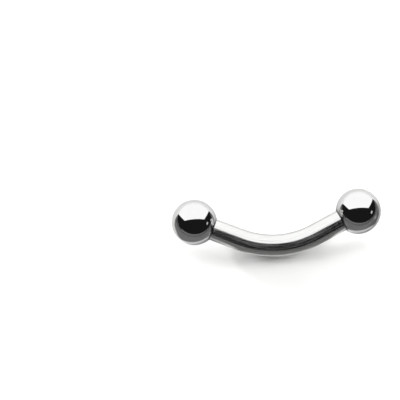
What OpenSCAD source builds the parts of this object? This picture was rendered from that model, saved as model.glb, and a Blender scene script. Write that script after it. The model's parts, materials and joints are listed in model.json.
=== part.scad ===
// Curved nipple barbell: a polished steel bar bent once, with a ball screwed into each end.
// Each ball carries its own threaded stud, and the bar is drilled for it, so no thread shows when it is closed.
// The bar lies along X, resting on both balls and on the outside of its bend.

/* [Bar] */
// Diameter of the bar, 10 gauge
bar_d = 2.4; // [2.2:0.1:2.6]
// Length of bar that shows: the straight distance between the places where it leaves the balls
bar_length = 14; // [13:0.5:16]
// Angle between the bar's two straight ends, in degrees
bend_angle = 49; // [44:1:54]
// Radius of the bend, at the centre of the bar
bend_r = 10; // [9:0.1:11]
// Bevel around each end face
end_bevel = 0.06; // [0.04:0.01:0.1]

/* [Balls] */
// Diameter of each ball
ball_d = 5; // [4.8:0.1:5.5]
// Depth of the floor of the round seat in each ball, below the top of the ball
seat_depth = 0.42; // [0.4:0.01:0.5]
// Gap left around the bar in that seat, and between its end face and the floor
seat_gap = 0.02; // [0.01:0.01:0.03]

/* [Screw thread] */
// Outer diameter of the thread on each stud
thread_d = 1.4; // [1.2:0.1:1.4]
// Distance from one turn of the thread to the next
thread_pitch = 0.3; // [0.25:0.05:0.3]
// Length of each stud, from the bar's end face
stud_length = 2.7; // [2.4:0.1:2.7]
// Depth of the full width of the hole that takes the stud, from the bar's end face
bore_depth = 3.2; // [3:0.1:3.2]
// Gap between the crest of the thread and the wall of the hole
bore_gap = 0.03; // [0.02:0.01:0.05]
// Diameter of the mouth of that hole's countersink
mouth_d = 1.94; // [1.8:0.02:2]

/* [Hidden] */
$fn = 96;
LEFT = -1;
RIGHT = 1;

bar_r = bar_d / 2;
ball_r = ball_d / 2;
half_bend = bend_angle / 2;

// Distances from a ball's centre along the axis of its stud
seat_floor = ball_r - seat_depth;
bar_end = seat_floor + seat_gap;
bar_exit = sqrt(pow(ball_r, 2) - pow(bar_r, 2));
stud_tip = bar_end + stud_length;

// The bar is an arc with a straight, tangent length at each end
half_chord = bar_length / 2 + bar_exit * cos(half_bend);
straight = (half_chord - bend_r * sin(half_bend)) / cos(half_bend) - bar_end;
sagitta = bend_r * (1 - cos(half_bend)) + (straight + bar_end) * sin(half_bend);

// Bending draws the steel out by a hair, and the straight ends lap over the start of the thinner stretch
bend_thinning = 0.005;
bend_lap = 0.05;
bent_r = bar_r - bend_thinning;

// Lean of the bend's plane that brings the bend down to the level on which the balls stand
lean = asin((ball_r - bent_r) / sagitta);
chord_y = (sagitta * cos(lean) + bent_r - ball_r) / 2;

// Screw thread: 60 degree flanks with a flat crest and root
thread_r = thread_d / 2;
thread_depth = 0.613 * thread_pitch;
root_r = thread_r - thread_depth;
crest_share = 1 / 8;
root_share = 1 / 4;
flank_share = (1 - crest_share - root_share) / 2;
thread_sides = 24;
neck_r = root_r - 0.02;
neck_length = 0.3;
tip_bevel = 0.22;
clear_of_crest = 0.01;

bore_r = thread_r + bore_gap;
mouth_r = mouth_d / 2;
drill_point = 118;
overlap = 0.3;

steel = [0.75, 0.75, 0.76];
bright_steel = [0.84, 0.84, 0.85];

// Stands the pieces on Z = 0, with their bounding box centred on the origin.
module resting() {
    translate([0, chord_y, ball_r]) rotate([lean, 0, 0]) children();
}

// Puts the centre of a ball at the origin of its children, with the bar along their +Z.
module at_end(side) {
    translate([side * half_chord, 0, 0])
        rotate([0, 0, -side * (90 - half_bend)])
            rotate([90, 0, 0])
                children();
}

module bend() {
    translate([0, bend_r - sagitta, 0])
        rotate([0, 0, -90 - half_bend])
            rotate_extrude(angle = bend_angle)
                translate([bend_r, 0]) circle(r = bent_r);
}

// One straight end of the bar, bevelled around its end face, and lapped over the start of the bend.
module straight_end() {
    inner_end = bar_end + straight + bend_lap;
    rotate_extrude() polygon([
        [0, bar_end],
        [bar_r - end_bevel, bar_end],
        [bar_r, bar_end + end_bevel],
        [bar_r, inner_end],
        [0, inner_end]
    ]);
}

// Blind hole for a stud, with a countersunk mouth and the cone that a drill leaves.
module stud_hole() {
    bottom = bar_end + bore_depth;
    rotate_extrude() polygon([
        [0, bar_end - overlap],
        [mouth_r + overlap, bar_end - overlap],
        [bore_r, bar_end + mouth_r - bore_r],
        [bore_r, bottom],
        [0, bottom + bore_r / tan(drill_point / 2)]
    ]);
}

module bar() {
    color(steel) resting() difference() {
        union() {
            bend();
            for (side = [LEFT, RIGHT]) at_end(side) straight_end();
        }
        for (side = [LEFT, RIGHT]) at_end(side) stud_hole();
    }
}

// The four corners of the thread's outline in one pitch, each as [share of the pitch, radius].
thread_outline = [
    [0, root_r],
    [root_share, root_r],
    [root_share + flank_share, thread_r],
    [1 - flank_share, thread_r]
];

// A right-hand helix of that outline, longer than the stud at both ends.
module thread_helix() {
    rows = len(thread_outline);
    bottom = bar_end + neck_length - 2 * thread_pitch;
    turns = ceil((stud_tip - bottom) / thread_pitch) + 2;
    columns = turns * thread_sides;
    first_column = columns - thread_sides;
    points = [
        for (column = [0 : columns], row = [0 : rows - 1])
            let (turn = column / thread_sides, corner = thread_outline[row])
            [
                corner[1] * cos(360 * turn),
                corner[1] * sin(360 * turn),
                bottom + (turn + corner[0]) * thread_pitch
            ]
    ];
    low = len(points);
    high = low + 1;
    caps = [[0, 0, bottom], [0, 0, bottom + (turns + 1) * thread_pitch]];
    // The corner above the last one of a column is the first one of the column a turn later
    function corner_id(column, row) = row < rows ? column * rows + row : (column + thread_sides) * rows;
    sides = [
        for (column = [0 : columns - 1], row = [0 : rows - 1])
            if (row < rows - 1 || column < first_column)
                each [
                    [corner_id(column, row), corner_id(column + 1, row + 1), corner_id(column + 1, row)],
                    [corner_id(column, row), corner_id(column, row + 1), corner_id(column + 1, row + 1)]
                ]
    ];
    low_cap = concat(
        [for (column = [0 : thread_sides - 1]) [low, corner_id(column, 0), corner_id(column + 1, 0)]],
        [for (row = [0 : rows - 1]) [low, corner_id(0, row + 1), corner_id(0, row)]]
    );
    high_cap = concat(
        [
            for (column = [first_column : columns - 1])
                [high, corner_id(column + 1, rows - 1), corner_id(column, rows - 1)]
        ],
        [for (row = [0 : rows - 2]) [high, corner_id(columns, row), corner_id(columns, row + 1)]],
        [[high, corner_id(first_column, rows - 1), corner_id(columns, 0)]]
    );
    polyhedron(points = concat(points, caps), faces = concat(sides, low_cap, high_cap), convexity = 8);
}

// The stud's turned blank: a plain neck at the ball, then the threaded length with a bevelled tip.
module stud_blank() {
    blank_r = thread_r + clear_of_crest;
    neck_end = bar_end + neck_length;
    rotate_extrude() polygon([
        [0, seat_floor - overlap],
        [neck_r, seat_floor - overlap],
        [neck_r, neck_end],
        [blank_r, neck_end + blank_r - neck_r],
        [blank_r, stud_tip - tip_bevel],
        [blank_r - tip_bevel, stud_tip],
        [0, stud_tip]
    ]);
}

module stud() {
    intersection() {
        thread_helix();
        stud_blank();
    }
}

module ball_end(side) {
    color(bright_steel) resting() at_end(side) {
        difference() {
            sphere(r = ball_r);
            translate([0, 0, seat_floor]) cylinder(r = bar_r + seat_gap, h = ball_r);
        }
        stud();
    }
}

bar();
ball_end(LEFT);  // ball_left
ball_end(RIGHT);  // ball_right
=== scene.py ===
"""Dresses the curved nipple barbell in polished surgical steel and sets the studio round it.

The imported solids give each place: the balls' centres, the way that each ball unscrews, and the
bar's thickness. Lengths are in metres, so sizes are written as a number of millimetres times MM.
"""

import json
import math

import bmesh
import bpy
from bpy.props import FloatProperty, FloatVectorProperty, PointerProperty
from mathutils import Matrix, Vector


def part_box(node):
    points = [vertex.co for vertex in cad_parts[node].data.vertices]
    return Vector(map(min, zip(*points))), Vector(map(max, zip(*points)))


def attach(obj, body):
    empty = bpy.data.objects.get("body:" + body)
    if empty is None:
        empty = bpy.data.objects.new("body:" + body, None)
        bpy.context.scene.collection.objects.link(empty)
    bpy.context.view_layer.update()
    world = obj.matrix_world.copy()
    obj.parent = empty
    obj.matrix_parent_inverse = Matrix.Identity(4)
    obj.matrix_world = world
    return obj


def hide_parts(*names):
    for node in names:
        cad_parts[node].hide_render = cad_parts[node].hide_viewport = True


bl_info = {
    "name": "Curved Nipple Barbell",
    "version": (1, 0, 0),
    "blender": (4, 5, 0),
    "location": "3D View > Sidebar > Barbell",
    "description": "Makes a polished steel barbell with screw-on balls, and a pale studio for it",
    "category": "Object",
}

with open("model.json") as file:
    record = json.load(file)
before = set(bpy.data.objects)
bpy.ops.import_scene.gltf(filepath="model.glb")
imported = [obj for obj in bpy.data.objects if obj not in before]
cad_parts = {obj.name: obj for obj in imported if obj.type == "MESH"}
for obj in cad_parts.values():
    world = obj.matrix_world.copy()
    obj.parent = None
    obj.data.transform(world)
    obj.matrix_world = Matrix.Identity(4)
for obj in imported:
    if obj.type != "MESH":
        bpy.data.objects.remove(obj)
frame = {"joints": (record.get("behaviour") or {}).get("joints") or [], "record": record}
bpy.context.view_layer.update()

MM = 0.001
LEFT, RIGHT = -1, 1

# Fineness of the meshes: columns round the steel, rows for each turn of thread, and the largest
# step from row to row on a ball, on the broken edge of its seat, and on the bar
COLUMNS = 96
THREAD_ROWS = 16
BALL_ROW_ANGLE = math.radians(2)
EDGE_ROW_ANGLE = math.radians(30)
BEND_ROW_ANGLE = math.radians(0.75)
STRAIGHT_ROW = 0.5 * MM
CREASE_ANGLE = math.radians(28)

# Point of the drill that leaves the end of each hole
DRILL_POINT = math.radians(118)

# A piece's two finishes, in the order in which it carries them
POLISHED, TURNED = 0, 1

# The haze that wiping leaves takes the steel down to this share of its colour. It is strongest at
# the first of these values of its noise and gone at the second.
WIPED = 0.3, 0.7
WIPED_SHARE = 0.97

# A quarter turn from the grain, so that highlights spread across it
ACROSS_GRAIN = 0.25

# The stage reaches this far from the barbell. Its floor and its table lie just below the steel, so
# that no faces touch, and the backdrop's foot lies lower still.
STAGE_RADIUS = 0.6
FLOOR_DROP, TABLE_DROP, BACKDROP_DROP = 0.002 * MM, 0.02 * MM, 10 * MM

WHITE = "#FFFFFF"
DARK_ROOM = "#1F1F1F"
BACKDROP = "#FEFEFE"

# Distances from the barbell at which the floor starts to glow, and at which it is white
FLOOR_GLOW_START, FLOOR_GLOW_END = 50 * MM, 250 * MM

# The low board in front: its distance, its height at the left and at the right as shares of that
# distance, and its glow
BOARD_DISTANCE = 0.3
BOARD_LEFT, BOARD_RIGHT = 0.14, 0.01
BOARD_GLOW = 0.2

# The leaning diffuser, in shares of its height: how far left, right and back its front edge and its
# foot lie, and how far its cloth bows up in between. From its foot, where it gives only a share of
# its light, it grows brighter up to a height.
DIFFUSER_FRONT = -1.2, 1.15, -0.135
DIFFUSER_FOOT = -1.5, 1.3, 1.01
DIFFUSER_BOW = 0.28
DIFFUSER_DIM_SHARE, DIFFUSER_DIM_HEIGHT = 0.88, 60 * MM

# The small lamp: where it hangs, its width and height as shares of its distance, and its glow
LAMP_DIRECTION = 0.905, -0.28, 0.32
LAMP_WIDTH, LAMP_HEIGHT = 0.2, 0.13
LAMP_GLOW = 0.85

# The table's glow, and the soft bands on it that give the steel its pale rims and crescents: round
# and in front of the bar, behind each ball, and in a ring round each ball. The lit middles of the
# balls' bands lie to one side of the ball.
TABLE_GLOW = 0.03
BAR_GLOW = {"strength": 0.45, "full": 1.7 * MM, "end": 2.15 * MM, "lit": 3.2 * MM, "dark": 4.8 * MM}
FRONT_GLOW = {"strength": 0.05, "full": 2 * MM, "end": 4 * MM}
RIM_GLOW = {"strength": 0.42, "full": 2.2 * MM, "end": 4 * MM, "lit": 2.6 * MM, "dark": 4.2 * MM}
RIM_BACK, RIM_MIDDLE = 1.4 * MM, -1 * MM
RING_GLOW = {"strength": 0.65, "full": 0.4 * MM, "end": 1.1 * MM, "lit": 2.4 * MM, "dark": 3.8 * MM}
RING_RIGHT, RING_BACK, RING_RADIUS, RING_MIDDLE = 1.3 * MM, -0.2 * MM, 4 * MM, 0.6 * MM

# The table's colour is darkened with painted shade: in a band inside the bend, where the bar's
# shadow falls, and in a round spot to the right of the barbell
BEND_SHADE = {"strength": 0.25, "full": 2 * MM, "end": 4 * MM, "lit": 5 * MM, "dark": 8 * MM}
BEND_SHADE_INSIDE = 3 * MM
SIDE_SHADE = {"strength": 0.4, "full": 4 * MM, "end": 8 * MM}
SIDE_SHADE_CENTRE = 17 * MM, -1 * MM, 0

# The panels that light the floor from behind the barbell: the turns to the right of straight back
# and the heights between which each one reaches, in degrees, and its share of the floor's light.
# They stand just inside the backdrop.
PANEL_RADIUS = 0.98 * STAGE_RADIUS
FLOOR_PANELS = {
    "left_panel": (-90, -60, 12, 24, 0.091),
    "left_high_panel": (-90, -60, 24, 44, 0.341),
    "left_lamp_panel": (-80, -70, 28, 38, 0.041),
    "back_left_low_panel": (-60, -30, 3, 10, 0.110),
    "back_left_lamp_panel": (-50, -40, 12, 20, 0.220),
    "right_lowest_panel": (60, 90, 0, 4, 0.094),
    "right_low_panel": (60, 90, 4, 12, 0.116),
    "right_high_panel": (60, 90, 24, 44, 0.380),
    "back_right_low_panel": (30, 60, 3, 10, 0.045),
    "back_right_panel": (30, 60, 10, 24, 0.073),
    "back_right_high_panel": (30, 60, 24, 44, 0.078),
}

# The camera's sensor, in millimetres, and the nearest and farthest that it sees
SENSOR_WIDTH = 36
CLIP_START, CLIP_END = 0.01, 10

channel = frame["record"]["mounts"][0]["dims"]
unscrew_axis = next(joint["axis"] for joint in frame["joints"] if joint["child"] == "ball_right")


def linear(hex_colour):
    """Linear red, green and blue of an sRGB hex value such as #C8C6C2."""
    shares = [int(hex_colour[start:start + 2], 16) / 255 for start in (1, 3, 5)]
    return [
        share / 12.92 if share <= 0.04045 else ((share + 0.055) / 1.055) ** 2.4
        for share in shares
    ]


# Sizes and colours that a user would change


def length(name, description, default):
    return FloatProperty(
        name=name, description=description, default=default, min=0, unit="LENGTH", precision=5,
    )


def colour(name, description, hex_colour):
    return FloatVectorProperty(
        name=name, description=description, default=linear(hex_colour),
        min=0, max=1, size=3, subtype="COLOR",
    )


class BarbellSizes(bpy.types.PropertyGroup):
    bar_diameter: length(
        "Bar diameter", "Thickness of the bar, 10 gauge", 2 * channel["r_mm"] * MM)
    bar_length: length(
        "Bar length", "Straight distance between the balls, along which the bar shows",
        channel["length_mm"] * MM)
    bend_radius: length(
        "Bend radius", "Radius of the bend at the centre of the bar", 10 * MM)
    end_bevel: length(
        "End bevel", "Bevel round each end face of the bar", 0.06 * MM)
    ball_diameter: length(
        "Ball diameter", "Diameter of each ball", 5 * MM)
    seat_depth: length(
        "Seat depth", "Depth of the seat's floor below the top of the ball", 0.42 * MM)
    seat_gap: length(
        "Seat gap", "Gap between the bar and the seat", 0.02 * MM)
    seat_round: length(
        "Seat edge", "Radius of the broken edge of the seat", 0.03 * MM)
    thread_diameter: length(
        "Thread diameter", "Outer diameter of the studs' thread", 1.4 * MM)
    thread_pitch: length(
        "Thread pitch", "Distance from one turn of thread to the next", 0.3 * MM)
    stud_length: length(
        "Stud length", "Length of each stud from the bar's end face", 2.7 * MM)
    neck_length: length(
        "Neck length", "Plain length of the stud before its thread", 0.3 * MM)
    tip_bevel: length(
        "Tip bevel", "Bevel at the tip of each stud", 0.22 * MM)
    bore_depth: length(
        "Bore depth", "Depth of the tapped hole from the bar's end face", 3.2 * MM)
    bore_gap: length(
        "Bore gap", "Gap between the stud's thread and the tapped hole", 0.03 * MM)
    mouth_diameter: length(
        "Mouth diameter", "Diameter of the countersunk mouth of the hole", 1.94 * MM)


class BarbellColours(bpy.types.PropertyGroup):
    ball_steel: colour(
        "Ball steel", "Mirror-polished steel of the balls", "#CFCFCF")
    bar_steel: colour(
        "Bar steel", "Polished steel of the bar", "#D4D4D3")
    thread_steel: colour(
        "Thread steel", "Turned steel of the studs, holes and end faces", "#BDBBB7")


class StudioSettings(bpy.types.PropertyGroup):
    camera_elevation: FloatProperty(
        name="Camera elevation", description="Angle of the camera above the floor",
        default=math.radians(65.4), subtype="ANGLE", unit="ROTATION",
    )
    camera_azimuth: FloatProperty(
        name="Camera azimuth",
        description="Turn of the camera round the barbell, to the right of its front",
        default=math.radians(-4.3), subtype="ANGLE", unit="ROTATION",
    )
    lens: FloatProperty(
        name="Lens", description="Focal length in millimetres", default=200, min=20, unit="CAMERA",
    )
    view_width: length(
        "View width", "Width of the picture at the barbell", 43.73 * MM)
    view_right: length(
        "View right", "How far right of the picture's middle the barbell lies", 8.35 * MM)
    view_down: length(
        "View down", "How far below the picture's middle the barbell lies", 1.83 * MM)
    diffuser_height: length(
        "Diffuser height", "Height of the front edge of the leaning diffuser", 250 * MM)
    diffuser_glow: FloatProperty(
        name="Diffuser glow", description="Radiance of the diffuser", default=1.55, min=0,
    )
    floor_colour: colour(
        "Floor", "White sheet that the camera sees", "#F4F4F3")
    table_colour: colour(
        "Table", "Gloss laminate that the steel mirrors", "#E0DFDE")


# Meshes


def steps(start, end, largest):
    """Evenly spaced values from start to end, both included, no further apart than largest."""
    rounding = 1e-6
    count = max(1, math.ceil(abs(end - start) / largest - rounding))
    return [start + (end - start) * number / count for number in range(count + 1)]


def between(start, end, share):
    """The value at a share of the way from start to end."""
    return start + (end - start) * share


class Bend:
    """The bar's centre line: two straight ends joined by an arc.

    It lies in the plane in which the balls unscrew, and its ends are the balls' centres.
    """

    def __init__(self, sizes):
        out = Vector(unscrew_axis)
        self.half_angle = math.acos(out.x)
        self.down = -Vector((0, out.y, out.z)).normalized()
        self.across = Vector((1, 0, 0)).cross(self.down)

        # The bar shows from where its surface leaves one ball to where it enters the other
        ball_radius = sizes.ball_diameter / 2
        exit_distance = math.sqrt(ball_radius ** 2 - (sizes.bar_diameter / 2) ** 2)
        self.half_chord = sizes.bar_length / 2 + exit_distance * math.cos(self.half_angle)
        ball_low, ball_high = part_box("ball_right")
        self.balls_middle = Vector((0, (ball_low.y + ball_high.y) / 2, ball_radius))

        self.radius = sizes.bend_radius
        self.arc = self.radius * self.half_angle
        arc_width = self.radius * math.sin(self.half_angle)
        arc_depth = self.radius * (1 - math.cos(self.half_angle))
        self.reach = (self.half_chord - arc_width) / math.cos(self.half_angle)
        self.end = self.arc + self.reach
        depth = arc_depth + self.reach * math.sin(self.half_angle)
        self.belly = self.balls_middle + depth * self.down

    def place(self, distance):
        """Centre and axes of a ring, at a distance along the bar, which is negative to the left."""
        side = math.copysign(1, distance)
        angle = side * min(abs(distance), self.arc) / self.radius
        rest = max(0, abs(distance) - self.arc)
        normal = math.sin(angle) * Vector((1, 0, 0)) + math.cos(angle) * self.down
        along = math.cos(angle) * Vector((1, 0, 0)) - math.sin(angle) * self.down
        centre = self.belly + self.radius * (normal - self.down) + side * rest * along
        return centre, normal, self.across

    def end_place(self, side, height):
        """The same at a height above a ball's centre, with the axes in right-handed order."""
        centre, normal, across = self.place(side * (self.end - height))
        return centre, normal, -side * across


class Thread:
    """The screw thread, with each height measured from the ball's centre towards the bar."""

    # Shares of the pitch: the thread's depth, and the widths of its root and of each flank
    DEPTH, ROOT_WIDTH, FLANK_WIDTH = 0.613, 1 / 4, 5 / 16
    NECK_CLEARANCE = 0.02 * MM

    def __init__(self, sizes):
        self.seat_floor = sizes.ball_diameter / 2 - sizes.seat_depth
        self.bar_end = self.seat_floor + sizes.seat_gap
        self.pitch = sizes.thread_pitch
        self.crest = sizes.thread_diameter / 2
        self.root = self.crest - self.DEPTH * self.pitch
        self.neck = self.root - self.NECK_CLEARANCE
        self.neck_end = self.bar_end + sizes.neck_length
        self.tip = self.bar_end + sizes.stud_length
        self.tip_radius = self.crest - sizes.tip_bevel
        self.gap = sizes.bore_gap
        self.mouth = sizes.mouth_diameter / 2
        self.bore_end = self.bar_end + sizes.bore_depth

    def wave(self, column, height):
        """Radius of an endless right-hand thread with 60 degree flanks and rounded corners."""
        turn = ((height - self.bar_end) / self.pitch - column / COLUMNS) % 1
        up, down = (turn - self.ROOT_WIDTH) / self.FLANK_WIDTH, (1 - turn) / self.FLANK_WIDTH
        rise = min(max(up, 0), down, 1)
        # The rise is eased at both of its ends, which rounds the corners
        return self.root + (self.crest - self.root) * rise * rise * (3 - 2 * rise)

    def stud(self, column, height):
        """Radius of the stud, which widens from its neck and is bevelled at its tip."""
        widening = self.neck + max(0, height - self.neck_end)
        bevel = self.tip_radius + max(0, self.tip - height)
        return min(self.wave(column, height), widening, bevel)

    def hole(self, column, height):
        """Radius of the tapped hole, which opens into a countersunk mouth."""
        return max(self.wave(column, height) + self.gap, self.mouth - (height - self.bar_end))


def ring(place, radius):
    """Points round a place. The radius is a number, or a function of the column.

    A radius of 0 gives one point.
    """
    centre, first, second = place
    if radius == 0:
        return [centre]
    points = []
    for column in range(COLUMNS):
        angle = math.tau * column / COLUMNS
        out = radius(column) if callable(radius) else radius
        points.append(centre + out * (math.cos(angle) * first + math.sin(angle) * second))
    return points


def finished(mesh, name):
    made = bpy.data.meshes.new(name)
    mesh.to_mesh(made)
    mesh.free()
    return made


def skin(name, rows, place_at):
    """A mesh over rows of height, radius and the finish that lies between a row and the next.

    Each point also keeps its place on the straight, unbent piece and the way that its grain runs,
    which the finishes' fine marks follow.
    """
    mesh = bmesh.new()
    straight = mesh.verts.layers.float_vector.new("straight_place")
    grain = mesh.verts.layers.float_vector.new("along_grain")
    made_rows = []
    for height, radius, finish in rows:
        centre, first, second = place_at(height)
        unbent = Vector((0, 0, height)), Vector((1, 0, 0)), Vector((0, 1, 0))
        made = [mesh.verts.new(point) for point in ring((centre, first, second), radius)]
        for vertex, point in zip(made, ring(unbent, radius)):
            vertex[straight] = point
            vertex[grain] = first.cross(second)
        made_rows.append(made)
    for low, high, (height, radius, finish) in zip(made_rows, made_rows[1:], rows):
        for column in range(COLUMNS):
            after = (column + 1) % COLUMNS
            if len(low) == 1:
                corners = low[0], high[column], high[after]
            elif len(high) == 1:
                corners = low[column], high[0], low[after]
            else:
                corners = low[column], high[column], high[after], low[after]
            face = mesh.faces.new(corners)
            face.smooth = True
            face.material_index = finish
    bmesh.ops.recalc_face_normals(mesh, faces=mesh.faces)
    for edge in mesh.edges:
        edge.smooth = edge.calc_face_angle(0) < CREASE_ANGLE
    return finished(mesh, name)


def add_object(name, mesh, materials):
    made = bpy.data.objects.new(name, mesh)
    for material in materials:
        mesh.materials.append(material)
    bpy.context.collection.objects.link(made)
    return made


# Finishes


def add_node(tree, kind, inputs=None, **settings):
    """Adds a node. Each input is given a value, or the socket that feeds it."""
    made = tree.nodes.new(kind)
    for name, value in settings.items():
        setattr(made, name, value)
    for name, value in (inputs or {}).items():
        if isinstance(value, bpy.types.NodeSocket):
            tree.links.new(value, made.inputs[name])
        else:
            made.inputs[name].default_value = value
    return made


def new_material(name):
    material = bpy.data.materials.new(name)
    material.use_nodes = True
    material.node_tree.nodes.clear()
    return material, material.node_tree


def show(tree, shader):
    add_node(tree, "ShaderNodeOutputMaterial", {"Surface": shader.outputs[0]})


def straight_place(tree, stretch=(1, 1, 1)):
    """Each point's place on the unbent piece, multiplied along each axis by its scale."""
    place = add_node(tree, "ShaderNodeAttribute", attribute_name="straight_place")
    return add_node(
        tree, "ShaderNodeMapping", {"Vector": place.outputs["Vector"], "Scale": stretch}
    ).outputs["Vector"]


def lengthwise_place(tree):
    """Polishing marks run along the bar, several hundred times as long as they are wide."""
    times_as_long = 400
    return straight_place(tree, (1, 1, 1 / times_as_long))


def turned_place(tree):
    """A lathe tool leaves rings, which depend only on the distance from the axis and along it."""
    from_axis = add_node(
        tree, "ShaderNodeVectorMath", {0: straight_place(tree, (1, 1, 0))}, operation="LENGTH"
    )
    along = add_node(tree, "ShaderNodeSeparateXYZ", {"Vector": straight_place(tree)})
    return add_node(
        tree, "ShaderNodeCombineXYZ", {"X": from_axis.outputs["Value"], "Z": along.outputs["Z"]}
    ).outputs["Vector"]


def painted_seam_shade(tree, radius, heights, full, end, light):
    """Share of the light that steel gives back near seams at a radius and at some heights.

    It is painted shade: the steel's colour darkens near the seams, standing in for the shade and
    dark reflections in the gap where ball meets bar. The share is light up to the distance full
    from a seam, and 1 from the distance end on.
    """
    share = 1.0
    for height in heights:
        from_seam = add_node(
            tree, "ShaderNodeVectorMath", {0: turned_place(tree), 1: (radius, 0, height)},
            operation="DISTANCE",
        )
        near = add_node(
            tree, "ShaderNodeMapRange",
            {"Value": from_seam.outputs["Value"], "From Min": full, "From Max": end,
             "To Min": light},
            interpolation_type="SMOOTHSTEP",
        )
        share = add_node(
            tree, "ShaderNodeMath", {0: share, 1: near.outputs["Result"]}, operation="MULTIPLY"
        ).outputs["Value"]
    return share


def steel(
    name, tint, place, mark_size, roughness, mark_depth, haze_size, haze,
    marked=(0.3, 0.7), grain=0.0, seam=None,
):
    """Surgical steel with fine marks, which rise by mark_depth, and a wider haze left by wiping.

    Its roughness goes from the first value to the second as the marks' noise goes through marked.
    With a grain, from 0 to 1, highlights spread across the bar more than along it. A seam holds
    the settings of the painted shade that darkens the colour near the seams where ball meets bar.
    """
    material, tree = new_material(name)
    marks = add_node(
        tree, "ShaderNodeTexNoise",
        {"Vector": place(tree), "Scale": 1 / mark_size, "Detail": 3.0, "Roughness": 0.6},
    )
    wipes = add_node(
        tree, "ShaderNodeTexNoise",
        {"Vector": place(tree), "Scale": 1 / haze_size, "Detail": 2.0, "Roughness": 0.5},
    )
    rough_marks = add_node(
        tree, "ShaderNodeMapRange",
        {"Value": marks.outputs["Fac"], "From Min": marked[0], "From Max": marked[1],
         "To Min": roughness[0], "To Max": roughness[1]},
    )
    rough = add_node(
        tree, "ShaderNodeMath",
        {0: wipes.outputs["Fac"], 1: haze, 2: rough_marks.outputs["Result"]},
        operation="MULTIPLY_ADD",
    )
    light = add_node(
        tree, "ShaderNodeMapRange",
        {"Value": wipes.outputs["Fac"], "From Min": WIPED[0], "From Max": WIPED[1],
         "To Min": WIPED_SHARE},
    ).outputs["Result"]
    # Painted shade: the colour is darkened near the seams, standing in for the shade in the gap
    if seam:
        light = add_node(
            tree, "ShaderNodeMath", {0: light, 1: painted_seam_shade(tree, **seam)}, operation="MULTIPLY"
        ).outputs["Value"]
    tone = add_node(
        tree, "ShaderNodeVectorMath", {0: tuple(tint), "Scale": light}, operation="SCALE"
    )
    relief = add_node(
        tree, "ShaderNodeBump",
        {"Height": marks.outputs["Fac"], "Strength": 1.0, "Distance": mark_depth},
    )
    surface = add_node(
        tree, "ShaderNodeBsdfPrincipled",
        {"Base Color": tone.outputs["Vector"], "Metallic": 1.0,
         "Roughness": rough.outputs["Value"], "Normal": relief.outputs["Normal"]},
    )
    if grain:
        along = add_node(tree, "ShaderNodeAttribute", attribute_name="along_grain")
        surface.inputs["Anisotropic"].default_value = grain
        surface.inputs["Anisotropic Rotation"].default_value = ACROSS_GRAIN
        tree.links.new(along.outputs["Vector"], surface.inputs["Tangent"])
    show(tree, surface)
    return material


def ball_steel(colours, seat_radius, seat_height):
    """316L surgical steel, turned and then buffed on a wheel: a clear, neutral mirror.

    Buffing leaves a waviness about a millimetre across that only just bends what the ball mirrors.
    """
    return steel(
        "buffed_316l_steel", colours.ball_steel, straight_place,
        mark_size=0.9 * MM, roughness=(0.015, 0.03), mark_depth=0.002 * MM,
        haze_size=1.5 * MM, haze=0.015,
        # Painted shade next to the seat, where the bar goes into the ball
        seam={"radius": seat_radius, "heights": [seat_height],
              "full": 0.18 * MM, "end": 0.32 * MM, "light": 0.3},
    )


def bar_steel(colours, radius, end):
    """316L surgical steel wire, drawn and polished lengthwise: a mirror with faint streaks.

    Real marks are a few micrometres wide and are drawn at 0.015 mm: clear steel between hazy lines.
    """
    return steel(
        "polished_316l_wire", colours.bar_steel, lengthwise_place,
        mark_size=0.015 * MM, roughness=(0.04, 0.4), mark_depth=0.00005 * MM,
        haze_size=0.16 * MM, haze=0.06, marked=(0.53, 0.58), grain=0.85,
        # Painted shade next to each end of the bar, where it meets a ball
        seam={"radius": radius, "heights": [-end, end],
              "full": 0.03 * MM, "end": 0.14 * MM, "light": 0.3},
    )


def thread_steel(colours):
    """316L surgical steel as it leaves the lathe: bright, with fine rings that spread highlights.

    Tool marks are about 0.02 mm apart, and are drawn at 0.05 mm so that they show.
    """
    return steel(
        "turned_316l_steel", colours.thread_steel, turned_place,
        mark_size=0.05 * MM, roughness=(0.1, 0.2), mark_depth=0.002 * MM,
        haze_size=0.6 * MM, haze=0.05,
    )


# The barbell


def bar_rows(sizes, bend, thread, side):
    """Rows of half the bar, from the point of its drilled hole out to its end and back in."""
    radius = sizes.bar_diameter / 2
    drill_radius = thread.root + thread.gap
    rows = [(thread.bore_end + drill_radius / math.tan(DRILL_POINT / 2), 0, TURNED)]
    for height in steps(thread.bore_end, thread.bar_end, thread.pitch / THREAD_ROWS):
        rows.append((height, lambda column, at=height: thread.hole(-side * column, at), TURNED))
    rows.append((thread.bar_end, radius - sizes.end_bevel, POLISHED))
    bevel_end = thread.bar_end + sizes.end_bevel
    straight = steps(bevel_end, bend.reach, STRAIGHT_ROW)
    bent = steps(bend.reach, bend.end, bend.radius * BEND_ROW_ANGLE)[1:]
    return rows + [(height, radius, POLISHED) for height in straight + bent]


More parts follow.
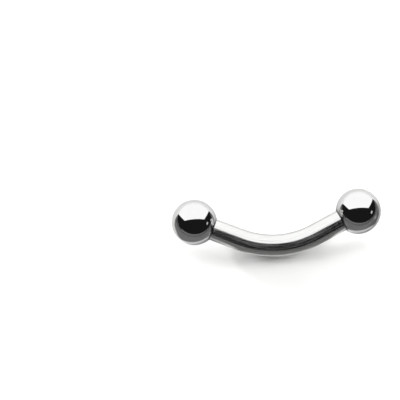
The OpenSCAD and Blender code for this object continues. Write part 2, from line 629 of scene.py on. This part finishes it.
def ball_rows(sizes, thread):
    """Rows of a ball from its outer pole to its seat, into the seat and along the stud."""
    ball = sizes.ball_diameter / 2
    wall = sizes.bar_diameter / 2 + sizes.seat_gap
    edge = sizes.seat_round
    edge_radius = wall + edge
    edge_height = math.sqrt((ball - edge) ** 2 - edge_radius ** 2)
    edge_angle = math.atan2(edge_height, edge_radius)
    rows = [(-ball, 0, POLISHED)]
    for angle in steps(-math.pi / 2, edge_angle, BALL_ROW_ANGLE)[1:]:
        rows.append((ball * math.sin(angle), ball * math.cos(angle), POLISHED))
    for angle in steps(edge_angle, math.pi, EDGE_ROW_ANGLE)[1:]:
        height, radius = edge_height + edge * math.sin(angle), edge_radius + edge * math.cos(angle)
        rows.append((height, radius, TURNED))
    rows.append((thread.seat_floor, wall, TURNED))
    rows.append((thread.seat_floor, thread.neck + edge, TURNED))
    rows.append((thread.seat_floor + edge, thread.neck, TURNED))
    for height in steps(thread.neck_end, thread.tip, thread.pitch / THREAD_ROWS):
        rows.append((height, lambda column, at=height: thread.stud(column, at), TURNED))
    rows.append((thread.tip, 0, TURNED))
    return rows


class BARBELL_OT_bar(bpy.types.Operator):
    """Makes the bent bar, with a tapped and countersunk hole in each end"""

    bl_idname = "barbell.bar"
    bl_label = "Make the bar"

    def execute(self, context):
        sizes = context.scene.barbell_sizes
        colours = context.scene.barbell_colours
        bend, thread = Bend(sizes), Thread(sizes)
        left = [
            (height - bend.end, radius, finish)
            for height, radius, finish in bar_rows(sizes, bend, thread, LEFT)
        ]
        outwards = bar_rows(sizes, bend, thread, RIGHT)[::-1]
        # Turned round, a row's own finish lies before it, so each row takes the next one's
        finishes = [finish for height, radius, finish in outwards[1:] + outwards[-1:]]
        right = [
            (bend.end - height, radius, finish)
            for (height, radius, own_finish), finish in zip(outwards, finishes)
        ]
        mesh = skin("polished_bar", left[:-1] + right, bend.place)
        polished = bar_steel(colours, sizes.bar_diameter / 2, bend.end - thread.bar_end)
        piece = add_object("polished_bar", mesh, [polished, thread_steel(colours)])
        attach(piece, "bar")
        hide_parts("bar")
        return {"FINISHED"}


class BARBELL_OT_balls(bpy.types.Operator):
    """Makes the two balls, each turned in one piece with its threaded stud"""

    bl_idname = "barbell.balls"
    bl_label = "Make the balls"

    def execute(self, context):
        sizes = context.scene.barbell_sizes
        colours = context.scene.barbell_colours
        bend, thread = Bend(sizes), Thread(sizes)
        seat_radius = sizes.bar_diameter / 2 + sizes.seat_gap
        finishes = [
            ball_steel(colours, seat_radius, thread.seat_floor),
            thread_steel(colours),
        ]
        for side, name in ((LEFT, "left"), (RIGHT, "right")):
            mesh = skin(
                f"screw_ball_{name}", ball_rows(sizes, thread),
                lambda height: bend.end_place(side, height),
            )
            piece = add_object(f"screw_ball_{name}", mesh, finishes)
            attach(piece, f"ball_{name}")
            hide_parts(f"ball_{name}")
        return {"FINISHED"}


# The studio


def glowing(name, hex_colour, glow):
    """A surface that gives off an even light and mirrors nothing."""
    material, tree = new_material(name)
    show(tree, add_node(
        tree, "ShaderNodeEmission", {"Color": (*linear(hex_colour), 1), "Strength": glow}
    ))
    return material


def diffuser_cloth(strength):
    """White cloth lit from behind, which dims a little towards its foot on the table."""
    material, tree = new_material("diffuser_cloth")
    place = add_node(tree, "ShaderNodeTexCoord").outputs["Object"]
    height = add_node(tree, "ShaderNodeSeparateXYZ", {"Vector": place}).outputs["Z"]
    glow = add_node(
        tree, "ShaderNodeMapRange",
        {"Value": height, "From Max": DIFFUSER_DIM_HEIGHT,
         "To Min": DIFFUSER_DIM_SHARE * strength, "To Max": strength},
    )
    show(tree, add_node(
        tree, "ShaderNodeEmission",
        {"Color": (*linear(WHITE), 1), "Strength": glow.outputs["Result"]},
    ))
    return material


def white_sheet(tint):
    """Matt white styrene sheet, rolled smooth: no sheen, and a tooth that is only just felt.

    Far from the barbell it is lit from below, so that it runs into the backdrop.
    """
    tooth_size, tooth_depth = 0.4 * MM, 0.01 * MM
    material, tree = new_material("matt_white_sheet")
    tooth = add_node(tree, "ShaderNodeTexNoise", {"Scale": 1 / tooth_size, "Detail": 2.0})
    relief = add_node(
        tree, "ShaderNodeBump",
        {"Height": tooth.outputs["Fac"], "Strength": 0.2, "Distance": tooth_depth},
    )
    place = add_node(tree, "ShaderNodeTexCoord").outputs["Object"]
    away = add_node(tree, "ShaderNodeVectorMath", {0: place}, operation="LENGTH")
    glow = add_node(
        tree, "ShaderNodeMapRange",
        {"Value": away.outputs["Value"], "From Min": FLOOR_GLOW_START, "From Max": FLOOR_GLOW_END},
    )
    show(tree, add_node(
        tree, "ShaderNodeBsdfPrincipled",
        {"Base Color": (*tint, 1), "Roughness": 0.7, "Specular IOR Level": 0.0,
         "Normal": relief.outputs["Normal"], "Emission Color": (*linear(WHITE), 1),
         "Emission Strength": glow.outputs["Result"]},
    ))
    return material


def band(tree, place, centre, radius, strength, full, end, middle=0.0, lit=1.0, dark=2.0):
    """A soft band along a circle on the table, whole up to full from it and gone from end on.

    Across the barbell it is whole up to lit from its middle, and gone from dark on. Unless these
    are given, it goes all round. A radius of 0 makes it a round spot.
    """
    from_centre = add_node(
        tree, "ShaderNodeVectorMath", {0: place, 1: centre}, operation="DISTANCE"
    )
    beyond = add_node(
        tree, "ShaderNodeMath", {0: from_centre.outputs["Value"], 1: radius}, operation="SUBTRACT"
    )
    across = add_node(tree, "ShaderNodeSeparateXYZ", {"Vector": place})
    aside = add_node(
        tree, "ShaderNodeMath", {0: across.outputs["X"], 1: middle}, operation="SUBTRACT"
    )
    shares = []
    for offset, whole, near, far in ((beyond, strength, full, end), (aside, 1.0, lit, dark)):
        distance = add_node(
            tree, "ShaderNodeMath", {0: offset.outputs["Value"]}, operation="ABSOLUTE"
        )
        shares.append(add_node(
            tree, "ShaderNodeMapRange",
            {"Value": distance.outputs["Value"], "From Min": near, "From Max": far,
             "To Min": whole, "To Max": 0.0},
            interpolation_type="SMOOTHSTEP",
        ).outputs["Result"])
    return add_node(
        tree, "ShaderNodeMath", {0: shares[0], 1: shares[1]}, operation="MULTIPLY"
    ).outputs["Value"]


def gloss_table(tint, bend):
    """High-gloss laminate, a dull mirror that shows the diffuser as a soft grey.

    It glows with painted light and darkens with painted shade in soft bands close round the
    barbell, for pale rims on the steel. The bar's bands follow a circle through both balls and the
    outside of the bend.
    """
    material, tree = new_material("gloss_laminate_table")
    place = add_node(tree, "ShaderNodeTexCoord").outputs["Object"]
    depth = bend.balls_middle.y - bend.belly.y
    arc_radius = (bend.half_chord ** 2 + depth ** 2) / (2 * depth)
    arc_centre = 0, bend.belly.y + arc_radius, 0
    glows = [band(tree, place, arc_centre, arc_radius, **each) for each in (BAR_GLOW, FRONT_GLOW)]
    for side in (LEFT, RIGHT):
        across, back = side * bend.half_chord, bend.balls_middle.y
        rim_centre = across, back + RIM_BACK, 0
        ring_centre = across + RING_RIGHT, back + RING_BACK, 0
        glows += [
            band(tree, place, rim_centre, 0.0, middle=across + RIM_MIDDLE, **RIM_GLOW),
            band(tree, place, ring_centre, RING_RADIUS, middle=across + RING_MIDDLE, **RING_GLOW),
        ]
    # Painted shade: these bands darken the table's colour
    shades = [
        band(tree, place, arc_centre, arc_radius - BEND_SHADE_INSIDE, **BEND_SHADE),
        band(tree, place, SIDE_SHADE_CENTRE, 0.0, **SIDE_SHADE),
    ]
    glow, light = TABLE_GLOW, 1.0
    for each in glows:
        glow = add_node(
            tree, "ShaderNodeMath", {0: glow, 1: each}, operation="ADD"
        ).outputs["Value"]
    for each in shades:
        light = add_node(
            tree, "ShaderNodeMath", {0: light, 1: each}, operation="SUBTRACT"
        ).outputs["Value"]
    tone = add_node(
        tree, "ShaderNodeVectorMath", {0: tuple(tint), "Scale": light}, operation="SCALE"
    )
    show(tree, add_node(
        tree, "ShaderNodeBsdfPrincipled",
        {"Base Color": tone.outputs["Vector"], "Metallic": 0.6, "Roughness": 0.12,
         "Emission Color": (*linear(WHITE), 1), "Emission Strength": glow},
    ))
    return material


def grid(point_at, columns, rows):
    """Rows of points, where point_at takes shares from 0 to 1 along a row and from row to row."""
    return [
        [point_at(x / columns, y / rows) for x in range(columns + 1)]
        for y in range(rows + 1)
    ]


def sheet(name, rows, material, camera=False, glossy=False, diffuse=False):
    """A stage sheet over rows of points, seen only by the kinds of ray that are named."""
    mesh = bmesh.new()
    made_rows = [[mesh.verts.new(point) for point in row] for row in rows]
    for low, high in zip(made_rows, made_rows[1:]):
        for column in range(len(low) - 1):
            face = mesh.faces.new((low[column], low[column + 1], high[column + 1], high[column]))
            face.smooth = True
    piece = add_object(name, finished(mesh, name), [material])
    piece.visible_camera = camera
    piece.visible_glossy = glossy
    piece.visible_transmission = glossy
    piece.visible_diffuse = diffuse
    piece.visible_shadow = False
    return piece


def group(name, objects):
    made = bpy.data.collections.new(name)
    for each in objects:
        made.objects.link(each)
    return made


class BARBELL_OT_studio(bpy.types.Operator):
    """Makes the floor and the backdrop, what the steel mirrors, the lights and the camera"""

    bl_idname = "barbell.studio"
    bl_label = "Make the studio"

    def execute(self, context):
        studio = context.scene.barbell_studio
        bend = Bend(context.scene.barbell_sizes)
        context.scene.view_settings.view_transform = "Standard"
        context.scene.world = self.make_room()
        floor = self.make_surroundings(studio, bend)
        self.make_diffuser(studio, floor)
        self.make_lamp(studio)
        for name, panel in FLOOR_PANELS.items():
            self.make_floor_panel(name, floor, *panel)
        context.scene.camera = self.make_camera(context, studio, bend)
        return {"FINISHED"}

    def make_room(self):
        world = bpy.data.worlds.new("dark_room")
        world.use_nodes = True
        world.node_tree.nodes.clear()
        background = add_node(
            world.node_tree, "ShaderNodeBackground",
            {"Color": (*linear(DARK_ROOM), 1), "Strength": 1.0},
        )
        add_node(world.node_tree, "ShaderNodeOutputWorld", {"Surface": background.outputs[0]})
        return world

    def make_surroundings(self, studio, bend):
        """Makes the floor and backdrop that the camera sees, and the table and board in the steel.

        Gives back the floor.
        """
        def flat_point(x, y):
            return STAGE_RADIUS * (2 * x - 1), STAGE_RADIUS * (2 * y - 1), 0

        def board_point(x, y):
            height = BOARD_DISTANCE * between(BOARD_LEFT, BOARD_RIGHT, x)
            return STAGE_RADIUS * (2 * x - 1), -BOARD_DISTANCE, y * height

        def dome_point(x, y):
            turn, rise = math.tau * x, math.pi / 2 * y
            level = STAGE_RADIUS * math.cos(rise)
            up = STAGE_RADIUS * math.sin(rise) - BACKDROP_DROP
            return level * math.cos(turn), level * math.sin(turn), up

        flat = grid(flat_point, columns=8, rows=8)
        floor = sheet("white_floor", flat, white_sheet(studio.floor_colour), camera=True)
        floor.location.z = -FLOOR_DROP
        laminate = gloss_table(studio.table_colour, bend)
        table = sheet("mirrored_table", flat, laminate, glossy=True, diffuse=True)
        table.location.z = -TABLE_DROP
        board = grid(board_point, columns=8, rows=1)
        sheet("front_board", board, glowing("board_glow", WHITE, BOARD_GLOW), glossy=True)
        dome = grid(dome_point, columns=32, rows=12)
        sheet("pale_backdrop", dome, glowing("backdrop_glow", BACKDROP, 1.0), camera=True)
        return floor

    def make_diffuser(self, studio, floor):
        """A sheet of cloth that leans over the barbell, and lights everything but the floor."""
        high = studio.diffuser_height

        def point(x, y):
            left, right, back = (
                between(front, foot, y) for front, foot in zip(DIFFUSER_FRONT, DIFFUSER_FOOT)
            )
            up = 1 - y + DIFFUSER_BOW * y * (1 - y)
            return between(left, right, x) * high, back * high, up * high

        bowed = grid(point, columns=12, rows=8)
        cloth = diffuser_cloth(studio.diffuser_glow)
        diffuser = sheet("leaning_diffuser", bowed, cloth, glossy=True, diffuse=True)
        lit = [each for each in bpy.data.objects if each.type == "MESH" and each is not floor]
        diffuser.light_linking.receiver_collection = group("lit_by_diffuser", lit)

    def make_lamp(self, studio):
        """A small lamp at the right, which the steel mirrors as a glint."""
        towards = Vector(LAMP_DIRECTION).normalized()
        side = towards.cross(Vector((0, 0, 1))).normalized()
        top = side.cross(towards)

        def point(x, y):
            aside, up = LAMP_WIDTH * (x - 0.5), LAMP_HEIGHT * (y - 0.5)
            return studio.diffuser_height * (towards + aside * side + up * top)

        flat = grid(point, columns=2, rows=2)
        sheet("small_lamp", flat, glowing("lamp_glow", WHITE, LAMP_GLOW), glossy=True)

    def make_floor_panel(self, name, floor, left, right, low, high, share):
        """A panel inside the backdrop that lights only the floor, and that only the bar shades.

        With a glow of 1, the whole sky gives the floor pi, and the panel gives it half of its turn
        times lit. So the glow follows from its share of the floor's light.
        """
        turn, rise = math.radians(right - left), math.radians(high - low)
        lit = math.sin(math.radians(high)) ** 2 - math.sin(math.radians(low)) ** 2
        glow = 2 * math.pi * share / (turn * lit)

        def point(x, y):
            azimuth, elevation = math.radians(left) + turn * x, math.radians(low) + rise * y
            level = PANEL_RADIUS * math.cos(elevation)
            up = PANEL_RADIUS * math.sin(elevation)
            return level * math.sin(azimuth), level * math.cos(azimuth), up

        curved = grid(point, columns=8, rows=4)
        panel = sheet(name, curved, glowing(f"{name}_glow", WHITE, glow), diffuse=True)
        bar = bpy.data.objects["polished_bar"]
        panel.light_linking.receiver_collection = group(f"lit_by_{name}", [floor])
        panel.light_linking.blocker_collection = group(f"shades_{name}", [bar])

    def make_camera(self, context, studio, bend):
        data = bpy.data.cameras.new("camera")
        data.lens, data.sensor_width = studio.lens, SENSOR_WIDTH
        data.clip_start, data.clip_end = CLIP_START, CLIP_END
        camera = bpy.data.objects.new("camera", data)
        context.collection.objects.link(camera)
        azimuth, elevation = studio.camera_azimuth, studio.camera_elevation
        back = Vector((
            math.sin(azimuth) * math.cos(elevation),
            -math.cos(azimuth) * math.cos(elevation),
            math.sin(elevation),
        ))
        turn = back.to_track_quat("Z", "Y")
        right, up = turn @ Vector((1, 0, 0)), turn @ Vector((0, 1, 0))
        target = bend.balls_middle - studio.view_right * right + studio.view_down * up
        place = target + studio.view_width * studio.lens / SENSOR_WIDTH * back
        camera.matrix_world = Matrix.Translation(place) @ turn.to_matrix().to_4x4()
        return camera


class BARBELL_PT_panel(bpy.types.Panel):
    """Lists the barbell's pieces and its studio"""

    bl_idname = "BARBELL_PT_panel"
    bl_label = "Curved barbell"
    bl_space_type = "VIEW_3D"
    bl_region_type = "UI"
    bl_category = "Barbell"

    def draw(self, context):
        for operator in OPERATORS:
            self.layout.operator(operator.bl_idname)
        for name, settings in SETTINGS.items():
            box = self.layout.box()
            for setting in settings.__annotations__:
                box.prop(getattr(context.scene, name), setting)


OPERATORS = [BARBELL_OT_bar, BARBELL_OT_balls, BARBELL_OT_studio]
SETTINGS = {
    "barbell_sizes": BarbellSizes,
    "barbell_colours": BarbellColours,
    "barbell_studio": StudioSettings,
}
CLASSES = [*SETTINGS.values(), *OPERATORS, BARBELL_PT_panel]


def register():
    for each in CLASSES:
        bpy.utils.register_class(each)
    for name, settings in SETTINGS.items():
        setattr(bpy.types.Scene, name, PointerProperty(type=settings))


def unregister():
    for name in SETTINGS:
        delattr(bpy.types.Scene, name)
    for each in reversed(CLASSES):
        bpy.utils.unregister_class(each)


def main():
    register()
    bpy.ops.barbell.bar()
    bpy.ops.barbell.balls()
    bpy.ops.barbell.studio()
    bpy.context.view_layer.update()


if __name__ == "__main__":
    main()
